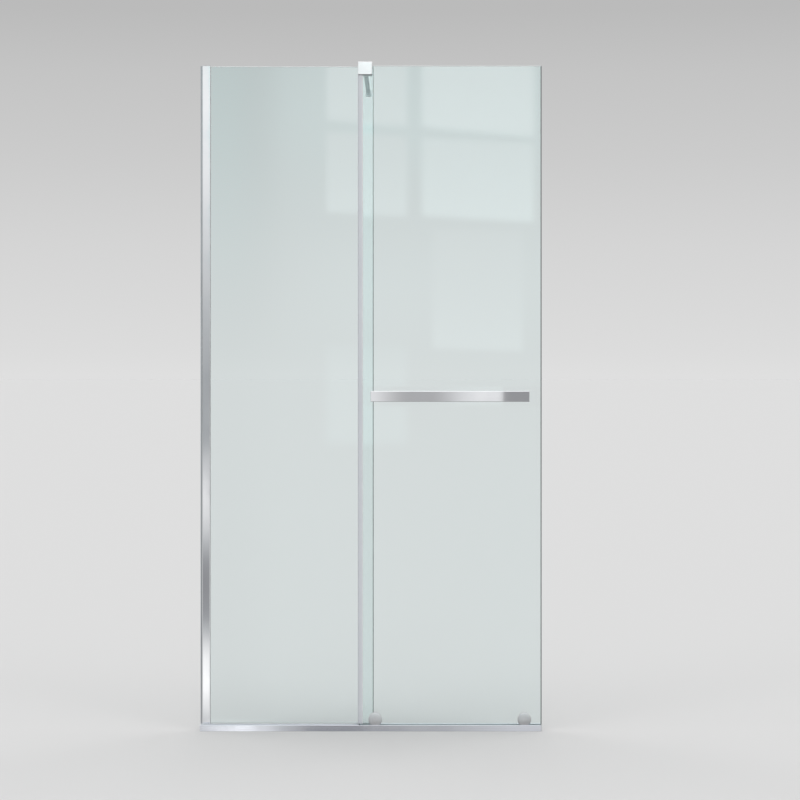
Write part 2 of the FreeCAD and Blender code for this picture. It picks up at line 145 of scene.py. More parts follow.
# soft studio: plain grey behind the screen, a soft dome all round, and light panels and flags in front of it
studio = {
    "background": [(0.0, 0.738), (0.011, 0.715), (0.056, 0.665), (0.096, 0.6), (0.133, 0.552), (0.16, 0.497),
                   (0.4, 0.42), (1.0, 0.4)],
    "dome": [(0.0, 0.14), (0.22, 0.18), (0.31, 0.3), (0.38, 0.58), (0.44, 0.76), (0.475, 0.7), (0.495, 0.36),
             (0.53, 0.5), (0.6, 0.82), (0.75, 0.98), (1.0, 1.15)],  # from straight below to straight above
    "ring": (8, 0.3),  # tall light panels all round the studio: how many, and how much they stand out
    "rearFlag": {"north": (0.8, 0.95), "rise": (-0.22, -0.07), "soft": 0.03, "tone": (0.12, 0.12, 0.125, 1)},
}
# the front panels' places are where a flat mirror in the screen's plane shows them to the camera
leftSpan, rightSpan = (-0.13, 0.106), (0.15, 0.478)
seamSpan = (-0.024, 0.006)  # both panes mirror the panels there, so those are dimmer
fixedSpan, profileSpan = (-1.2, -0.33), (-1.2, -0.469)
handleLevel, railLevel = (0.95, 1.008), (-0.4, 0.03)
crisp, seamEdge, profileEdge = (0.016, 0.016), (0.003, 0.016), (0.004, 0.1)
topTone, paneTone, paleTone, lowTone = (3.0, 3.0, 3.0), (2.4, 2.45, 2.45), (1.4, 1.4, 1.4), (0.9, 0.95, 0.95)
sideTone, sidePaneTone = (2.65, 2.65, 2.65), (2.15, 2.15, 2.15)
frontLight = {
    "base": [(0.0, 0.6), (0.6, 0.5), (0.75, (0.6, 0.8, 0.8)), (0.9, (0.7, 1.25, 1.25)),
             (0.95, (0.65, 1.3, 1.3)), (1.0, 0.8)],
    "height": 2.1,  # where the base's last tone stands
    "leastAhead": 0.05,  # keeps the places finite towards the sides
    "cone": (0.9, 0.96),  # the panels fill only what lies nearly straight ahead
    "foot": (-0.6, -0.2),  # and fade out towards the ground
    "panels": [
        {"x": (-0.25, 1.2), "z": (1.15, 2.3), "soft": (0.3, 0.2), "tone": (1.15, 1.2, 1.2)},
        {"x": (-0.25, 1.2), "z": (1.65, 2.3), "soft": (0.3, 0.2), "tone": (1.55, 1.9, 1.9)},
        {"x": leftSpan, "z": (1.79, 2.3), "soft": crisp, "tone": sideTone, "slant": 0.09},
        {"x": rightSpan, "z": (1.768, 2.3), "soft": crisp, "tone": topTone, "slant": 0.085},
        {"x": leftSpan, "z": (1.52, 1.755), "soft": crisp, "tone": sidePaneTone, "slant": 0.06},
        {"x": rightSpan, "z": (1.508, 1.738), "soft": crisp, "tone": paneTone, "slant": 0.055},
        {"x": seamSpan, "z": (1.78, 2.3), "soft": seamEdge, "tone": (1.95, 1.9, 1.9), "slant": 0.09},
        {"x": seamSpan, "z": (1.514, 1.749), "soft": seamEdge, "tone": (1.85, 1.8, 1.8), "slant": 0.06},
        {"x": (0.18, 0.445), "z": (1.12, 1.47), "soft": (0.015, 0.015), "tone": paleTone, "slant": 0.03},
        {"x": leftSpan, "z": (0.84, 1.13), "soft": (0.02, 0.02), "tone": lowTone},
        {"x": fixedSpan, "z": (-0.5, 3.0), "soft": (0.1, 0.1), "tone": (0.37, 0.37, 0.38)},  # dark flag
        {"x": fixedSpan, "z": (1.42, 3.0), "soft": (0.1, 0.45), "tone": (0.5, 1.0, 1.0)},
        {"x": profileSpan, "z": (-0.5, 3.0), "soft": profileEdge, "tone": (0.42, 0.435, 0.45)},
        {"x": profileSpan, "z": (0.33, 0.52), "soft": profileEdge, "tone": (0.31, 0.31, 0.325)},
        {"x": profileSpan, "z": (0.052, 0.25), "soft": profileEdge, "tone": (1.14, 1.14, 1.14)},
        {"x": profileSpan, "z": (0.58, 0.78), "soft": profileEdge, "tone": (0.84, 0.84, 0.85)},
        {"x": profileSpan, "z": (1.42, 3.0), "soft": (0.004, 0.45), "tone": (0.95, 0.96, 0.97)},
        {"x": (-0.05, 0.4), "z": handleLevel, "soft": (0.03, 0.004), "tone": (0.86, 0.86, 0.87)},
        {"x": (0.042, 0.24), "z": handleLevel, "soft": (0.07, 0.004), "tone": (0.445, 0.445, 0.455)},
        {"x": (0.388, 0.7), "z": handleLevel, "soft": (0.001, 0.004), "tone": (0.33, 0.33, 0.34)},
        {"x": (-0.9, 0.9), "z": railLevel, "soft": (0.1, 0.01), "tone": (0.43, 0.43, 0.44)},
        {"x": (0.3, 0.9), "z": railLevel, "soft": (0.15, 0.01), "tone": (0.66, 0.66, 0.68)},
        {"x": (-0.47, -0.3), "z": railLevel, "soft": (0.09, 0.01), "tone": (1.25, 1.25, 1.27)},
        {"x": (-0.22, 0.06), "z": railLevel, "soft": (0.09, 0.01), "tone": (0.28, 0.28, 0.3)},
    ],
}


def studioWorld(spec, front):
    world = bpy.data.worlds.new("softStudio")
    scene.world = world
    world.use_nodes = True
    tree = world.node_tree
    tree.nodes.clear()
    way = tree.nodes.new("ShaderNodeSeparateXYZ")
    tree.links.new(tree.nodes.new("ShaderNodeTexCoord").outputs["Generated"], way.inputs[0])
    east, north, up = way.outputs
    plain = ramp(tree, up, spec["background"], smooth=False)

    dome = ramp(tree, sums(tree, "MULTIPLY_ADD", up, 0.5, 0.5), spec["dome"])
    count, depth = spec["ring"]
    turn = sums(tree, "MULTIPLY", sums(tree, "ARCTAN2", north, east), float(count))
    level = sums(tree, "MULTIPLY_ADD", sums(tree, "COSINE", turn), depth, 1.0)
    dome = mixColor(tree, 1.0, dome, level, "MULTIPLY")
    flag = spec["rearFlag"]
    rise = strip(tree, up, *flag["rise"], flag["soft"])
    behind = sums(tree, "MULTIPLY", softStep(tree, north, *flag["north"]), rise)
    dome = mixColor(tree, behind, dome, flag["tone"])

    middle, back, eyeLevel = cameraView["place"]
    facing = sums(tree, "MULTIPLY", north, -1.0)
    ahead = sums(tree, "MAXIMUM", facing, front["leastAhead"])
    across = sums(tree, "MULTIPLY_ADD", sums(tree, "DIVIDE", east, ahead), -back, middle)
    height = sums(tree, "MULTIPLY_ADD", sums(tree, "DIVIDE", up, ahead), -back, eyeLevel)
    panels = ramp(tree, sums(tree, "DIVIDE", height, front["height"]), front["base"])
    for panel in front["panels"]:
        left, right = panel["x"]
        softX, softZ = panel["soft"]
        column = strip(tree, across, left, right, softX)
        offset = sums(tree, "SUBTRACT", across, left)
        slanted = sums(tree, "MULTIPLY_ADD", offset, panel.get("slant", 0.0), height)
        row = strip(tree, slanted, *panel["z"], softZ)
        panels = mixColor(tree, sums(tree, "MULTIPLY", column, row), panels, (*panel["tone"], 1))
    inCone, aboveFoot = softStep(tree, facing, *front["cone"]), softStep(tree, height, *front["foot"])
    mirrored = mixColor(tree, sums(tree, "MULTIPLY", inCone, aboveFoot), dome, panels)

    light = tree.nodes.new("ShaderNodeLightPath")
    bounces = sums(tree, "ADD", light.outputs["Glossy Depth"], light.outputs["Diffuse Depth"])
    direct = sums(tree, "LESS_THAN", bounces, 0.5)  # no mirror and no matt surface on the way
    seen = sums(tree, "MAXIMUM", light.outputs["Is Camera Ray"], light.outputs["Is Transmission Ray"])
    seen = sums(tree, "MULTIPLY", seen, direct)
    glow = tree.nodes.new("ShaderNodeBackground")
    tree.links.new(mixColor(tree, seen, mirrored, plain), glow.inputs["Color"])
    tree.links.new(glow.outputs[0], tree.nodes.new("ShaderNodeOutputWorld").inputs["Surface"])


studioWorld(studio, frontLight)


# pale floor that keeps the shadow; mirrors look past it into the studio
floorSpec = {"size": 900.0, "color": (0.715, 0.715, 0.715, 1)}


def addFloor(spec):
    mesh = bpy.data.meshes.new("paleFloor")
    half = spec["size"] / 2
    corners = [(-half, -half, 0), (half, -half, 0), (half, half, 0), (-half, half, 0)]
    mesh.from_pydata(corners, [], [(0, 1, 2, 3)])
    finish = bpy.data.materials.new("paleFloor")
    finish.use_nodes = True
    tree = finish.node_tree
    tree.nodes.clear()
    matt = tree.nodes.new("ShaderNodeBsdfDiffuse")
    matt.inputs["Color"].default_value = spec["color"]
    clear = tree.nodes.new("ShaderNodeBsdfTransparent")
    light = tree.nodes.new("ShaderNodeLightPath")
    mirrored = sums(tree, "GREATER_THAN", light.outputs["Glossy Depth"], 0.5)
    mix = tree.nodes.new("ShaderNodeMixShader")
    tree.links.new(mirrored, mix.inputs[0])
    tree.links.new(matt.outputs[0], mix.inputs[1])
    tree.links.new(clear.outputs[0], mix.inputs[2])
    tree.links.new(mix.outputs[0], tree.nodes.new("ShaderNodeOutputMaterial").inputs["Surface"])
    mesh.materials.append(finish)
    floor = bpy.data.objects.new("paleFloor", mesh)
    scene.collection.objects.link(floor)


addFloor(floorSpec)
print("studio and floor made")


# shared surface effects
def surfaceGroup(name, inputs, outputs):
    group = bpy.data.node_groups.new(name, "ShaderNodeTree")
    for label, value in inputs.items():
        socket = group.interface.new_socket(name=label, in_out="INPUT", socket_type="NodeSocketFloat")
        socket.default_value = value
    for label in outputs:
        group.interface.new_socket(name=label, in_out="OUTPUT", socket_type="NodeSocketFloat")
    return group, group.nodes.new("NodeGroupInput").outputs, group.nodes.new("NodeGroupOutput").inputs


def objectNoise(tree, scales, detail):
    place = tree.nodes.new("ShaderNodeTexCoord").outputs["Object"]
    stretch = tree.nodes.new("ShaderNodeCombineXYZ")
    for socket, value in zip(stretch.inputs, scales):
        feed(tree, socket, value)
    scaled = tree.nodes.new("ShaderNodeVectorMath")
    scaled.operation = "MULTIPLY"
    tree.links.new(place, scaled.inputs[0])
    tree.links.new(stretch.outputs[0], scaled.inputs[1])
    noise = tree.nodes.new("ShaderNodeTexNoise")
    noise.inputs["Scale"].default_value = 1.0
    noise.inputs["Detail"].default_value = detail
    tree.links.new(scaled.outputs[0], noise.inputs["Vector"])
    return noise.outputs[0]


grainMark, filmMark, dropMark = (0.3, 0.7), (0.35, 0.7), (0.66, 0.74)  # where the noise turns into a mark


def makeDrawnGrain():  # fine lines left by drawing and polishing, stretched along one axis
    group, taken, given = surfaceGroup("drawnGrain", {"Lines X": 8.0, "Lines Y": 900.0, "Lines Z": 900.0},
                                       ["Tone", "Height"])
    grain = objectNoise(group, (taken["Lines X"], taken["Lines Y"], taken["Lines Z"]), detail=4.0)
    group.links.new(softStep(group, grain, *grainMark), given["Tone"])
    group.links.new(grain, given["Height"])
    return group


def makeHandled():  # faint wiped film and dried drops on what is touched and splashed
    group, taken, given = surfaceGroup("handledFilm", {"Film": 9.0, "Drops": 160.0}, ["Film", "Drops"])
    film = objectNoise(group, (taken["Film"],) * 3, detail=5.0)
    drops = objectNoise(group, (taken["Drops"],) * 3, detail=2.0)
    group.links.new(softStep(group, film, *filmMark), given["Film"])
    group.links.new(softStep(group, drops, *dropMark), given["Drops"])
    return group


def makeMouldedSkin():  # fine matt skin of moulded and extruded plastic
    group, taken, given = surfaceGroup("mouldedSkin", {"Skin": 2600.0, "Cloud": 60.0}, ["Tone", "Height"])
    group.links.new(objectNoise(group, (taken["Cloud"],) * 3, detail=3.0), given["Tone"])
    group.links.new(objectNoise(group, (taken["Skin"],) * 3, detail=2.0), given["Height"])
    return group


drawnGrain, handledFilm, mouldedSkin = makeDrawnGrain(), makeHandled(), makeMouldedSkin()


def placeGroup(tree, group, **values):
    node = tree.nodes.new("ShaderNodeGroup")
    node.node_tree = group
    for label, value in values.items():
        node.inputs[label.replace("_", " ")].default_value = value
    return node.outputs


def newFinish(name):
    finish = bpy.data.materials.new(name)
    finish.use_nodes = True
    tree = finish.node_tree
    return finish, tree, tree.nodes["Principled BSDF"]


def objectPlace(tree):
    way = tree.nodes.new("ShaderNodeSeparateXYZ")
    tree.links.new(tree.nodes.new("ShaderNodeTexCoord").outputs["Object"], way.inputs[0])
    return way.outputs


def roughen(tree, shader, height, strength, distance):
    bump = tree.nodes.new("ShaderNodeBump")
    bump.inputs["Strength"].default_value = strength
    bump.inputs["Distance"].default_value = distance
    tree.links.new(height, bump.inputs["Height"])
    tree.links.new(bump.outputs[0], shader.inputs["Normal"])


chromeSpec = {
    "polishedChrome": {"bright": (0.90, 0.91, 0.92, 1), "dull": (0.84, 0.855, 0.87, 1),
                       "rough": (0.012, 0.035)},
    "castChrome": {"bright": (0.95, 0.95, 0.955, 1), "dull": (0.9, 0.9, 0.91, 1), "rough": (0.26, 0.34)},
    # the wall flange's chrome is painted dark grey: satin, with painted shade where it sits at the wall
    "satinChrome": {"bright": (0.50, 0.50, 0.51, 1), "dull": (0.45, 0.45, 0.46, 1), "rough": (0.26, 0.34)},
}
chromeWiped = 0.7  # how far the wiped film dulls chrome


def chromePlate(name):
    spec = chromeSpec[name]
    finish, tree, shader = newFinish(name)
    wear = placeGroup(tree, handledFilm, Film=7.0, Drops=190.0)
    shader.inputs["Metallic"].default_value = 1.0
    tree.links.new(mixColor(tree, wear["Film"], spec["bright"], spec["dull"]), shader.inputs["Base Color"])
    mark = sums(tree, "MAXIMUM", sums(tree, "MULTIPLY", wear["Film"], chromeWiped), wear["Drops"])
    tree.links.new(spread(tree, mark, *spec["rough"]), shader.inputs["Roughness"])
    return finish


# bright rail whose skin stays matt behind the lip, and mill finish on the wall channel, painted dark grey as
# painted shade for its recess
aluminiumSpec = {
    "railAluminium": {"bright": (0.86, 0.885, 0.925, 1), "dull": (0.78, 0.81, 0.855, 1),
                      "rough": (0.03, 0.075), "lines": {"Lines_X": 5.0},
                      "track": {"start": -19.9 * mm, "soft": 0.2 * mm, "rough": 0.5, "matt": 0.7}},
    "wallAluminium": {"bright": (0.50, 0.51, 0.53, 1), "dull": (0.40, 0.41, 0.43, 1), "rough": (0.3, 0.42),
                      "lines": {"Lines_X": 900.0, "Lines_Z": 5.0}},
}
aluminiumDrawn, aluminiumBump = 0.6, (0.03, 0.1 * mm)  # how far the lines dull it; bump's strength and depth


def brightAluminium(name):
    spec = aluminiumSpec[name]
    finish, tree, shader = newFinish(name)
    grain = placeGroup(tree, drawnGrain, **spec["lines"])
    film = placeGroup(tree, handledFilm, Film=11.0, Drops=220.0)
    shader.inputs["Metallic"].default_value = 1.0
    tone = mixColor(tree, grain["Tone"], spec["bright"], spec["dull"])
    tree.links.new(tone, shader.inputs["Base Color"])
    mark = sums(tree, "MAXIMUM", sums(tree, "MULTIPLY", grain["Tone"], aluminiumDrawn), film["Film"])
    rough = spread(tree, mark, *spec["rough"])
    if "track" in spec:
        track = spec["track"]
        inside = softStep(tree, objectPlace(tree)["Y"], track["start"], track["start"] + track["soft"])
        rough = sums(tree, "MAXIMUM", rough, sums(tree, "MULTIPLY", inside, track["rough"]))
        tree.links.new(spread(tree, inside, 1.0, 1.0 - track["matt"]), shader.inputs["Metallic"])
    tree.links.new(rough, shader.inputs["Roughness"])
    roughen(tree, shader, grain["Height"], *aluminiumBump)
    return finish


steelSpec = {"bright": (0.72, 0.72, 0.73, 1), "dull": (0.6, 0.6, 0.615, 1), "rough": (0.22, 0.38),
             "bump": (0.2, 0.2 * mm)}


def turnedSteel(spec):
    finish, tree, shader = newFinish("turnedSteel")
    grain = placeGroup(tree, drawnGrain, Lines_X=90.0, Lines_Y=2600.0, Lines_Z=90.0)
    shader.inputs["Metallic"].default_value = 1.0
    tree.links.new(mixColor(tree, grain["Tone"], spec["bright"], spec["dull"]), shader.inputs["Base Color"])
    tree.links.new(spread(tree, grain["Tone"], *spec["rough"]), shader.inputs["Roughness"])
    roughen(tree, shader, grain["Height"], *spec["bump"])
    return finish


capSpec = {"bright": (0.78, 0.78, 0.795, 1), "dull": (0.64, 0.64, 0.655, 1), "rough": (0.24, 0.36),
           "rings": 1500.0, "ringDetail": 3.0, "spun": 0.75, "bump": (0.25, 0.3 * mm)}


def satinCap(spec):  # turned face: the rings follow the piece's own turning, kept in its UV map
    finish, tree, shader = newFinish("satinCap")
    turn = tree.nodes.new("ShaderNodeSeparateXYZ")
    tree.links.new(tree.nodes.new("ShaderNodeUVMap").outputs[0], turn.inputs[0])
    noise = tree.nodes.new("ShaderNodeTexNoise")
    noise.noise_dimensions = "1D"
    noise.inputs["Scale"].default_value = spec["rings"]
    noise.inputs["Detail"].default_value = spec["ringDetail"]
    tree.links.new(turn.outputs["Y"], noise.inputs["W"])
    rings = noise.outputs[0]
    film = placeGroup(tree, handledFilm, Film=40.0, Drops=260.0)
    shader.inputs["Metallic"].default_value = 1.0
    tree.links.new(mixColor(tree, rings, spec["bright"], spec["dull"]), shader.inputs["Base Color"])
    mark = sums(tree, "MAXIMUM", rings, film["Drops"])
    tree.links.new(spread(tree, mark, *spec["rough"]), shader.inputs["Roughness"])
    roughen(tree, shader, rings, *spec["bump"])
    spun = tree.nodes.new("ShaderNodeTangent")
    spun.direction_type, spun.uv_map = "UV_MAP", "turn"
    tree.links.new(spun.outputs[0], shader.inputs["Tangent"])
    shader.inputs["Anisotropic"].default_value = spec["spun"]
    return finish


glassSpec = {"clear": (0.918, 0.985, 0.983, 1), "filmed": (0.911, 0.979, 0.977, 1), "ior": 1.5,
             "shine": (0.82, 1.0, 1.0, 1), "wiped": 0.6}


def clearGlass(spec):
    finish, tree, shader = newFinish("clearGlass")
    film = placeGroup(tree, handledFilm, Film=2.2, Drops=120.0)
    shader.inputs["Transmission Weight"].default_value = 1.0
    shader.inputs["Roughness"].default_value = 0.0
    shader.inputs["IOR"].default_value = spec["ior"]
    shader.inputs["Specular Tint"].default_value = spec["shine"]
    mark = sums(tree, "MAXIMUM", sums(tree, "MULTIPLY", film["Film"], spec["wiped"]), film["Drops"])
    tree.links.new(mixColor(tree, mark, spec["clear"], spec["filmed"]), shader.inputs["Base Color"])
    return finish


# ground and polished borders: the green of the glass gathers there, and the top one is painted light, a
# painted highlight for the light it catches from above
borderSpec = {
    "glassEdge": {"deep": (0.03, 0.06, 0.058, 1), "pale": (0.05, 0.09, 0.088, 1), "rough": (0.08, 0.2),
                  "through": 0.15},
    "glassTop": {"deep": (0.84, 0.89, 0.89, 1), "pale": (0.94, 0.97, 0.97, 1), "rough": (0.12, 0.25),
                 "through": 0.3},
}


def glassBorder(name):
    spec = borderSpec[name]
    finish, tree, shader = newFinish(name)
    grain = placeGroup(tree, drawnGrain, Lines_X=35.0, Lines_Y=1500.0, Lines_Z=35.0)
    shader.inputs["Transmission Weight"].default_value = spec["through"]
    shader.inputs["IOR"].default_value = glassSpec["ior"]
    tree.links.new(mixColor(tree, grain["Tone"], spec["deep"], spec["pale"]), shader.inputs["Base Color"])
    tree.links.new(spread(tree, grain["Tone"], *spec["rough"]), shader.inputs["Roughness"])
    return finish


# darker band drawn along one border of the door's seal, a painted edge shade, and a lighter band along the
# other
sealBorderBands = [{"x": (-40.0 * mm, -35.6 * mm), "soft": 0.3 * mm, "tone": (0.80, 0.80, 0.81, 1)},
            {"x": (-26.4 * mm, -22.0 * mm), "soft": 0.3 * mm, "tone": (1.14, 1.13, 1.1, 1)}]
plasticSpec = {
    "sealPvc": {"light": (0.80, 0.82, 0.865, 1), "dark": (0.76, 0.78, 0.825, 1), "rough": (0.26, 0.32),
                "through": 0.15, "borderBands": sealBorderBands},
    "clearGasket": {"light": (0.80, 0.82, 0.825, 1), "dark": (0.75, 0.77, 0.775, 1), "rough": (0.3, 0.4),
                    "through": 0.2},
    "capPvc": {"light": (0.62, 0.63, 0.645, 1), "dark": (0.56, 0.57, 0.585, 1), "rough": (0.3, 0.42)},
    "greyNylon": {"light": (0.56, 0.565, 0.575, 1), "dark": (0.50, 0.505, 0.515, 1), "rough": (0.42, 0.55)},
    "greyRubber": {"light": (0.30, 0.305, 0.315, 1), "dark": (0.24, 0.245, 0.255, 1), "rough": (0.6, 0.75)},
}
plasticBump = (0.15, 0.2 * mm)  # strength and depth


def mouldedPlastic(name, light, dark, rough, through=0.0, borderBands=()):
    finish, tree, shader = newFinish(name)
    mould = placeGroup(tree, mouldedSkin, Skin=2600.0, Cloud=18.0)
    shader.inputs["Transmission Weight"].default_value = through
    tone = mixColor(tree, mould["Tone"], dark, light)
    # the darker band is painted edge shade along the seal's border; the other band is lighter
    for borderBand in borderBands:
        border = strip(tree, objectPlace(tree)["X"], *borderBand["x"], borderBand["soft"])
        tone = mixColor(tree, border, tone, mixColor(tree, 1.0, tone, borderBand["tone"], "MULTIPLY"))
    tree.links.new(tone, shader.inputs["Base Color"])
    tree.links.new(spread(tree, mould["Tone"], *rough), shader.inputs["Roughness"])
    roughen(tree, shader, mould["Height"], *plasticBump)
    return finish


finishes = {name: chromePlate(name) for name in chromeSpec}
finishes.update({name: brightAluminium(name) for name in aluminiumSpec})
finishes.update({"steel": turnedSteel(steelSpec), "satin": satinCap(capSpec), "glass": clearGlass(glassSpec)})
finishes.update({name: glassBorder(name) for name in borderSpec})
finishes.update({name: mouldedPlastic(name, **spec) for name, spec in plasticSpec.items()})
print("finishes made:", len(finishes))


# making of new pieces
smoothLimit = math.radians(32)


def circlePoints(radius, sides):
    turns = [2 * math.pi * k / sides for k in range(sides)]
    return [(radius * math.cos(turn), radius * math.sin(turn)) for turn in turns]


def loft(bm, rings):
    rows = [[bm.verts.new(point) for point in ring] for ring in rings]
    count = len(rows[0])
    for low, high in zip(rows, rows[1:]):
        for i in range(count):
            j = (i + 1) % count
            bm.faces.new((low[i], low[j], high[j], high[i]))
    bm.faces.new(rows[0])
    bm.faces.new(rows[-1])
    bmesh.ops.recalc_face_normals(bm, faces=bm.faces)


def meshFrom(name, bm):
    mesh = bpy.data.meshes.new(name)
    bm.to_mesh(mesh)
    bm.free()
    return mesh


def addPiece(name, mesh, finishNames, body, replaced=(), shaded=False):
    for finishName in finishNames:
        mesh.materials.append(finishes[finishName])
    if not shaded:
        mesh.shade_smooth()
        mesh.set_sharp_from_angle(angle=smoothLimit)
    piece = bpy.data.objects.new(name, mesh)
    scene.collection.objects.link(piece)
    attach(piece, body)
    if replaced:
        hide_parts(*replaced)


def evaluatedMesh(holder):
    return bpy.data.meshes.new_from_object(holder.evaluated_get(bpy.context.evaluated_depsgraph_get()))


# finishes of the solids, for those that stay and for the eased copies
finishOfNode = {
    "polishedChrome": ["wall_profile", "stabiliser_bar", "handle_posts"],
    "castChrome": ["clamp_body"],
    "satinChrome": ["wall_flange"],
    "railAluminium": ["bottom_rail", "rail_channel_cover"],
    "wallAluminium": ["wall_channel"],
    "steel": ["roller_axles", "roller_sleeves", "roller_bearing_left", "roller_bearing_right"],
    "sealPvc": ["door_overlap_seal"],
    "capPvc": ["rail_end_cap", "wall_profile_cap"],
    "clearGasket": ["rail_gasket_front", "rail_gasket_rear", "glazing_gasket_front", "glazing_gasket_rear"],
    "greyRubber": ["clamp_pads", "setting_blocks"],
    "greyNylon": ["rail_stops", "door_guide_liner", "door_guide_shoes", "handle_bushes", "handle_pads",
                  "roller_bushes", "roller_nuts", "roller_tyre_left", "roller_tyre_right"],
}
finishFor = {name: finishName for finishName, names in finishOfNode.items() for name in names}
for name, finishName in finishFor.items():
    for place in nodes[name].material_slots:
        place.material = finishes[finishName]
print("solids painted")


# the metal and the hard plastic have eased corners: each width is in mm
easedEdges = {"wall_profile": 1.2, "clamp_body": 1.0, "stabiliser_bar": 0.8, "wall_flange": 1.8,
              "bottom_rail": 0.4, "wall_channel": 0.3, "rail_end_cap": 0.5, "wall_profile_cap": 0.5}
easing = {
    "sharp": math.radians(40),  # from here on an edge is a corner
    "flat": math.radians(0.5),  # up to here two faces are one flat
    "weld": 0.001 * mm,
    "steps": 3,
    "weight": 100,  # how much the large flats count in the shading
}


def flatShaded(mesh):  # the large flats keep their own shading up to the eased corners
    holder = bpy.data.objects.new(mesh.name, mesh)
    scene.collection.objects.link(holder)
    weigh = holder.modifiers.new("flats", "WEIGHTED_NORMAL")
    weigh.keep_sharp, weigh.weight = True, easing["weight"]
    done = evaluatedMesh(holder)
    bpy.data.objects.remove(holder)
    return done


def easedCopy(node, width):
    bm = bmesh.new()
    bm.from_mesh(nodes[node].data)
    bmesh.ops.remove_doubles(bm, verts=bm.verts, dist=easing["weld"])
    bmesh.ops.dissolve_limit(bm, angle_limit=easing["flat"], verts=bm.verts, edges=bm.edges)
    corners = [edge for edge in bm.edges if len(edge.link_faces) == 2 and edge.is_convex
               and edge.calc_face_angle() > easing["sharp"]]
    bmesh.ops.bevel(bm, geom=corners, offset=width * mm, segments=easing["steps"], profile=0.5,
                    affect="EDGES", clamp_overlap=True)
    bmesh.ops.recalc_face_normals(bm, faces=bm.faces)
    name = node + "_eased"
    mesh = meshFrom(name, bm)
    mesh.shade_smooth()
    mesh.set_sharp_from_angle(angle=easing["sharp"])
    addPiece(name, flatShaded(mesh), [finishFor[node]], bodyOf[node], [node], shaded=True)


for node, width in easedEdges.items():
    easedCopy(node, width)
print("corners eased")


# glass panels with ground borders; a hole has its place and its radius in mm
panelSpec = {
    "arris": 1.0 * mm,
    "fixedBorder": 2.0 * mm,
    "doorBorder": 2.5 * mm,
    "doorHoles": [(13, 35.5, 8.0), (449, 35.5, 8.0), (41, 979, 6.0), (421, 979, 6.0)],
    "holeSides": 40,
}
panelFinishes = ["glass", "glassEdge", "glassTop"]
borderFinish, holeFinish = [1, 1, 2, 1], 1  # borders: the foot, the right side, the top and the left side


def glassPanel(name, node, body, border, holes=()):
    low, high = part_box(node)
    bm = bmesh.new()

    def outline(inset, y):
        left, right, foot, top = low.x + inset, high.x - inset, low.z + inset, high.z - inset
        return [bm.verts.new((x, y, z)) for x, z in ((left, foot), (right, foot), (right, top), (left, top))]

    arris = panelSpec["arris"]
    rows = [outline(border, low.y), outline(arris, low.y), outline(0, low.y + arris),
            outline(0, high.y - arris), outline(arris, high.y), outline(border, high.y)]
    for near, far in zip(rows, rows[1:]):
        for i, finish in enumerate(borderFinish):
            j = (i + 1) % len(borderFinish)
            bm.faces.new((near[i], near[j], far[j], far[i])).material_index = finish
    sides = panelSpec["holeSides"]
    rims = []
    for x, z, radius in holes:
        near, far = [[bm.verts.new((x * mm + a, y, z * mm + b)) for a, b in circlePoints(radius * mm, sides)]
                     for y in (low.y, high.y)]
        for i in range(sides):
            j = (i + 1) % sides
            bm.faces.new((near[i], near[j], far[j], far[i])).material_index = holeFinish
        rims.append((near, far))
    for row, side in ((rows[0], 0), (rows[-1], 1)):
        loops = [row] + [rim[side] for rim in rims]
        edges = [bm.edges.get((loop[i], loop[(i + 1) % len(loop)])) for loop in loops
                 for i in range(len(loop))]
        bmesh.ops.triangle_fill(bm, use_beauty=True, use_dissolve=False, edges=edges)
    bmesh.ops.recalc_face_normals(bm, faces=bm.faces)
    addPiece(name, meshFrom(name, bm), panelFinishes, body, [node])


glassPanel("fixed_panel", "fixed_glass", "frame", panelSpec["fixedBorder"])
glassPanel("door_panel", "door_glass", "door", panelSpec["doorBorder"], panelSpec["doorHoles"])
print("glass panels made")


# flat bar handle with softened edges
# a point held on each flat beside a corner keeps the flat's shading plain
handleSpec = {"corner": 1.1 * mm, "bevel": 0.7 * mm, "bow": 0.3, "steps": 6, "hold": 0.15 * mm}


def roundedOutline(half1, half2, corner, steps, hold):
    points = []
    for quarter, (a, b) in enumerate(((1, 1), (-1, 1), (-1, -1), (1, -1))):
        centre = Vector((a * (half1 - corner), b * (half2 - corner)))
        turns = [math.pi / 2 * (quarter + k / steps) for k in range(steps + 1)]
        ways = [Vector((math.cos(turn), math.sin(turn))) for turn in turns]
        arc = [centre + corner * way for way in ways]
        points += [arc[0] - hold * ways[-1], *arc, arc[-1] - hold * ways[0]]
    return points


def handleBar(spec):
    low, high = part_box("handle_bar")
    middle, half = (low + high) / 2, (high - low) / 2
    bevel, bow, hold = spec["bevel"], spec["bevel"] * spec["bow"], spec["hold"]
    ends = [(0.0, bevel), (bow, bow), (bevel, 0.0), (bevel + hold, 0.0)]
    places = [(low.x + step, inset) for step, inset in ends]
    places += [(high.x - step, inset) for step, inset in ends[::-1]]
    rings = []
    for x, inset in places:
        outline = roundedOutline(half.y - inset, half.z - inset, spec["corner"] - inset, spec["steps"], hold)
        rings.append([(x, middle.y + a, middle.z + b) for a, b in outline])
    bm = bmesh.new()
    loft(bm, rings)
    addPiece("handle_grip", meshFrom("handle_grip", bm), ["polishedChrome"], "door", ["handle_bar"])


handleBar(handleSpec)


# roller caps: shallow turned domes, profile as radius and depth behind the front face in mm
capShape = {
    "sides": 72,
    "profile": [(1.0, 0.0), (4.0, 0.03), (7.0, 0.1), (10.0, 0.22), (11.4, 0.3), (11.8, 0.42), (12.4, 0.5),
                (13.0, 0.5), (13.6, 0.44), (14.2, 0.47), (15.5, 0.6), (17.4, 0.82), (18.6, 1.05),
                (19.4, 1.35), (19.85, 1.7), (20.0, 2.1), (20.0, 2.5)],
}


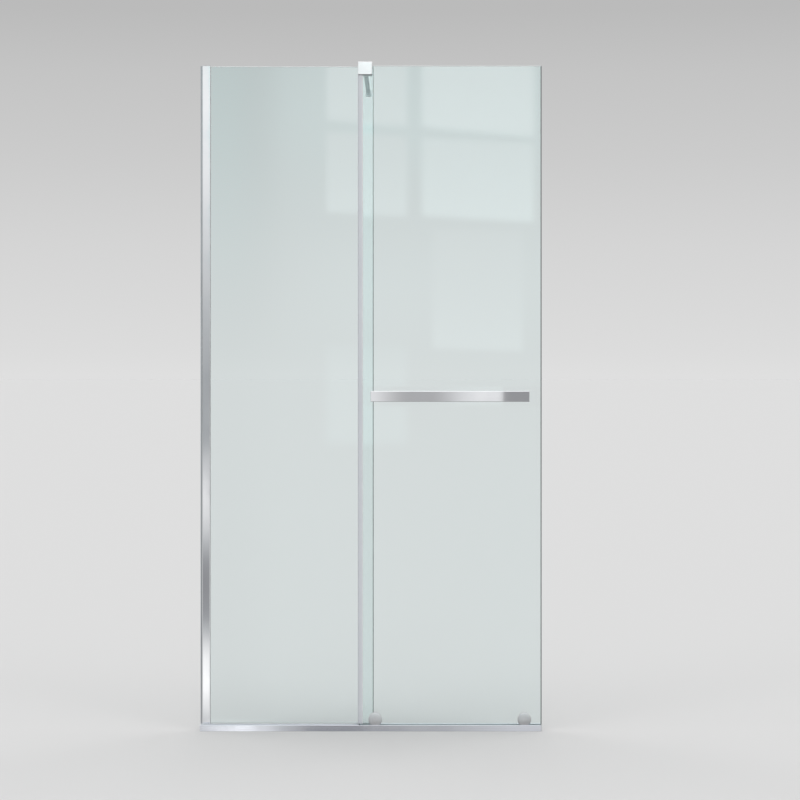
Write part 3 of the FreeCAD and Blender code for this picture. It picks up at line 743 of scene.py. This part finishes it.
def rollerCap(side, spec):
    low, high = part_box("roller_cap_" + side)
    middle = (low + high) / 2
    bm = bmesh.new()
    loft(bm, [[(middle.x + a, low.y + depth * mm, middle.z + b)
               for a, b in circlePoints(radius * mm, spec["sides"])] for radius, depth in spec["profile"]])
    turn = bm.loops.layers.uv.new("turn")
    for face in bm.faces:
        angles = [math.atan2(loop.vert.co.z - middle.z, loop.vert.co.x - middle.x) for loop in face.loops]
        for loop, angle in zip(face.loops, angles):
            if len(face.verts) == 4 and max(angles) - angle > math.pi:  # the face that closes the ring
                angle += 2 * math.pi
            offset = loop.vert.co - middle
            loop[turn].uv = (angle / (2 * math.pi), math.hypot(offset.x, offset.z))
    name = "roller_disc_" + side
    addPiece(name, meshFrom(name, bm), ["satin"], "roller_" + side, ["roller_cap_" + side])


for side in ("left", "right"):
    rollerCap(side, capShape)
print("handle and roller caps made")


# screws, set out in rows by one Geometry Nodes tree
# sizes are in mm, and the head's profile in shares of its radius and height
screwKinds = {
    "button": {"radius": 3.2, "head": 1.7, "socket": 1.5, "deep": 1.1, "shank": 2.0, "length": 1.0},
    "handle": {"radius": 7.5, "head": 3.0, "socket": 2.6, "deep": 2.2, "shank": 3.0, "length": 24.0},
}
screwSpec = {
    "sides": 36,
    "head": [(0.97, 0.0), (1.0, 0.06), (1.0, 0.42), (0.96, 0.7), (0.87, 0.9), (0.74, 1.0)],
    "socketRim": (1.06, 0.08),  # how far the socket's mouth widens, and how deep that goes
    "socketFoot": 0.45,
}


def screwShape(name, kind):
    radius, head, shank, socket = [kind[key] * mm for key in ("radius", "head", "shank", "socket")]
    socketFloor = head - kind["deep"] * mm
    wide, rim = screwSpec["socketRim"]
    sides = screwSpec["sides"]

    def circle(r, z):
        return [(a, b, z) for a, b in circlePoints(r, sides)]

    def hexagon(r, z):
        points = []
        for k in range(sides):
            angle = 2 * math.pi * k / sides
            reach = r / math.cos((angle % (math.pi / 3)) - math.pi / 6)
            points.append((reach * math.cos(angle), reach * math.sin(angle), z))
        return points

    bm = bmesh.new()
    loft(bm, [circle(shank, -kind["length"] * mm), circle(shank, 0),
              *(circle(radius * across, head * high) for across, high in screwSpec["head"]),
              hexagon(socket * wide, head), hexagon(socket, head - rim * mm), hexagon(socket, socketFloor),
              hexagon(socket * screwSpec["socketFoot"], socketFloor)])
    screw = bpy.data.objects.new(name, meshFrom(name, bm))
    scene.collection.objects.link(screw)
    return screw


def makeScrewRow():
    tree = bpy.data.node_groups.new("screwRow", "GeometryNodeTree")
    tree.interface.new_socket(name="Geometry", in_out="OUTPUT", socket_type="NodeSocketGeometry")
    kinds = {"Screw": "NodeSocketObject", "Count": "NodeSocketInt", "First": "NodeSocketVector",
             "Step": "NodeSocketVector", "Turn": "NodeSocketVector", "Finish": "NodeSocketMaterial"}
    keys = {label: tree.interface.new_socket(name=label, in_out="INPUT", socket_type=kind).identifier
            for label, kind in kinds.items()}
    taken = tree.nodes.new("NodeGroupInput").outputs
    line = tree.nodes.new("GeometryNodeMeshLine")
    shape = tree.nodes.new("GeometryNodeObjectInfo")
    onPoints = tree.nodes.new("GeometryNodeInstanceOnPoints")
    real = tree.nodes.new("GeometryNodeRealizeInstances")
    paint = tree.nodes.new("GeometryNodeSetMaterial")
    given = tree.nodes.new("NodeGroupOutput").inputs
    links = [
        (taken["Count"], line.inputs["Count"]),
        (taken["First"], line.inputs["Start Location"]),
        (taken["Step"], line.inputs["Offset"]),
        (taken["Screw"], shape.inputs["Object"]),
        (line.outputs["Mesh"], onPoints.inputs["Points"]),
        (shape.outputs["Geometry"], onPoints.inputs["Instance"]),
        (taken["Turn"], onPoints.inputs["Rotation"]),
        (onPoints.outputs["Instances"], real.inputs["Geometry"]),
        (real.outputs["Geometry"], paint.inputs["Geometry"]),
        (taken["Finish"], paint.inputs["Material"]),
        (paint.outputs["Geometry"], given["Geometry"]),
    ]
    for start, end in links:
        tree.links.new(start, end)
    return tree, keys


screwRow, screwKeys = makeScrewRow()
rearward, downward = (math.radians(-90), 0.0, 0.0), (math.radians(180), 0.0, 0.0)
# place of the first screw's seat and the step to the next, in mm
setScrews = [
    {"count": 3, "first": (-490.5, 21.75, 300.0), "step": (0, 0, 675.0), "turn": rearward},  # wall profile
    {"count": 2, "first": (-28.0, 30.25, 1930.0), "step": (22.0, 0, 0), "turn": rearward},  # top clamp
    {"count": 1, "first": (-17.0, 41.25, 1943.5), "step": (0, 0, 0), "turn": downward},  # bar on the clamp
    {"count": 1, "first": (-17.0, 668.0, 1941.35), "step": (0, 0, 0), "turn": downward},  # wall flange
]
handleScrews = [{"count": 2, "first": (41.0, 1.75, 979.0), "step": (380.0, 0, 0), "turn": rearward}]


def screwPiece(name, kind, rows, finishName, body, replaced=()):
    screw = screwShape(name + "Shape", screwKinds[kind])
    bm = bmesh.new()
    for row in rows:
        holder = bpy.data.objects.new(name + "Row", bpy.data.meshes.new(name + "Row"))
        scene.collection.objects.link(holder)
        modifier = holder.modifiers.new("screwRow", "NODES")
        modifier.node_group = screwRow
        modifier[screwKeys["Screw"]] = screw
        modifier[screwKeys["Count"]] = row["count"]
        modifier[screwKeys["First"]] = [v * mm for v in row["first"]]
        modifier[screwKeys["Step"]] = [v * mm for v in row["step"]]
        modifier[screwKeys["Turn"]] = row["turn"]
        modifier[screwKeys["Finish"]] = finishes[finishName]
        bm.from_mesh(evaluatedMesh(holder))
        holder.modifiers.clear()
        bpy.data.objects.remove(holder)
    bpy.data.objects.remove(screw)
    for face in bm.faces:
        face.material_index = 0
    addPiece(name, meshFrom(name, bm), [finishName], body, replaced)


screwPiece("set_screws", "button", setScrews, "steel", "frame")
screwPiece("handle_fixings", "handle", handleScrews, "steel", "door", ["handle_screws"])
print("screws made")

print("pieces done")
